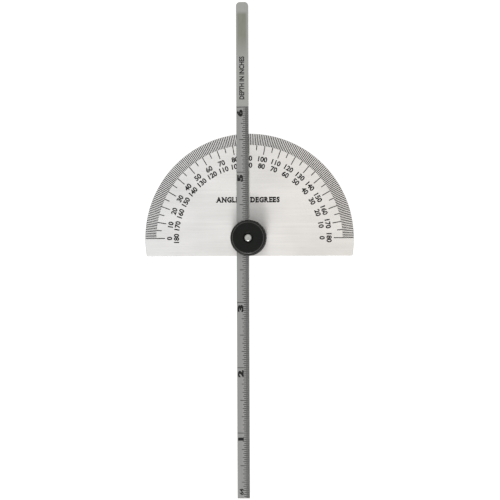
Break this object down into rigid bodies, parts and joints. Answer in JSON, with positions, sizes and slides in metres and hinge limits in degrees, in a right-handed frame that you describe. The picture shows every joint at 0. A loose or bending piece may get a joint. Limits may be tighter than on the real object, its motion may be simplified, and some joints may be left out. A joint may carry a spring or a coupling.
{
  "type": "protractor",
  "caption": "Half-round steel protractor with a narrow sliding rule held across it by a swivelling clamp and a black knurled nut.",
  "frame": {"origin": "on the swivel axis at the back of the tool, where the flush stud head and the plate's back lie in one plane", "axes": "+Z out of the graduated front face, +Y along the rule towards the plate's arc, +X to the right"},
  "size_m": [0.0816, 0.1935, 0.0095],
  "materials": {
    "brushed_plate": "brushed along the base edge, with black filled graduations",
    "satin_rule": "satin, with black filled graduations",
    "turned_steel": "turned",
    "spring_steel": "smooth",
    "black_oxide": "black oxide on knurled steel"
  },
  "bodies": {
    "head": {"protractor_plate": "brushed_plate"},
    "swivel": {"clamp_stud": "turned_steel", "clamp_collar": "turned_steel", "wave_washer": "spring_steel"},
    "rule": {"depth_rule": "satin_rule"},
    "washer": {"flat_washer": "turned_steel"},
    "nut": {"knurled_nut": "black_oxide"}
  },
  "joints": [
    {"name": "rule_swivel", "type": "hinge", "parent": "head", "child": "swivel", "pos_m": [0, 0, 0], "axis": [0, 0, 1], "continuous": true},
    {"name": "rule_slide", "type": "slide", "parent": "swivel", "child": "rule", "axis": [0, 1, 0], "range_m": [-0.084, 0.0943]},
    {"name": "nut_lift", "type": "slide", "parent": "swivel", "child": "washer", "axis": [0, 0, 1], "range_m": [0, 0.00075], "deforming": ["wave_washer"]},
    {"name": "nut_turn", "type": "hinge", "parent": "washer", "child": "nut", "pos_m": [0, 0, 0], "axis": [0, 0, 1], "range_deg": [0, 540]}
  ],
  "couplings": [
    {"joint": "nut_turn", "follows": "nut_lift", "rad_per_m": 12566}
  ]
}
